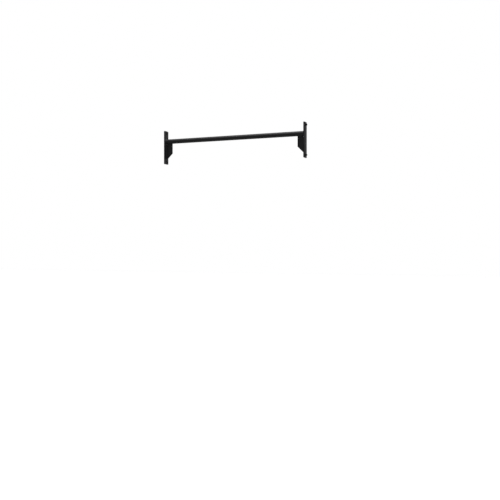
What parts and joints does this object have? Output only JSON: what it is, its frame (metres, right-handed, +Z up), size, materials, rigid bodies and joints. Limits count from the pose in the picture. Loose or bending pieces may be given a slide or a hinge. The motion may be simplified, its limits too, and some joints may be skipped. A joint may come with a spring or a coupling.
{
  "type": "kip bar",
  "caption": "Straight round pull-up and kipping bar welded between two flat upright-mounting plates, with a chamfered gusset web under each end and countersunk socket screws.",
  "frame": {"origin": "mid-span, on the centreline of the plates, half way between their upper and lower screws; the bar's axis is 43.8 mm above it", "axes": "+X along the bar, from the left plate to the right one; +Y to the back; +Z up"},
  "size_m": [1.0846, 0.0508, 0.24],
  "materials": {
    "powder_coat": "satin black powder coat with a fine orange peel",
    "coated_weld": "weld bead under the same satin black powder coat",
    "black_hardware": "black oxide on alloy steel"
  },
  "bodies": {
    "root": {"crossbar_tube": "powder_coat", "left_bar_ring_weld": "coated_weld", "left_gusset_web": "powder_coat", "left_lower_countersunk_screw": "black_hardware", "left_mounting_plate": "powder_coat", "left_upper_countersunk_screw": "black_hardware", "left_web_to_bar_weld_front": "coated_weld", "left_web_to_bar_weld_rear": "coated_weld", "left_web_to_plate_weld_front": "coated_weld", "left_web_to_plate_weld_rear": "coated_weld", "right_bar_ring_weld": "coated_weld", "right_gusset_web": "powder_coat", "right_lower_countersunk_screw": "black_hardware", "right_mounting_plate": "powder_coat", "right_upper_countersunk_screw": "black_hardware", "right_web_to_bar_weld_front": "coated_weld", "right_web_to_bar_weld_rear": "coated_weld", "right_web_to_plate_weld_front": "coated_weld", "right_web_to_plate_weld_rear": "coated_weld"}
  },
  "joints": []
}
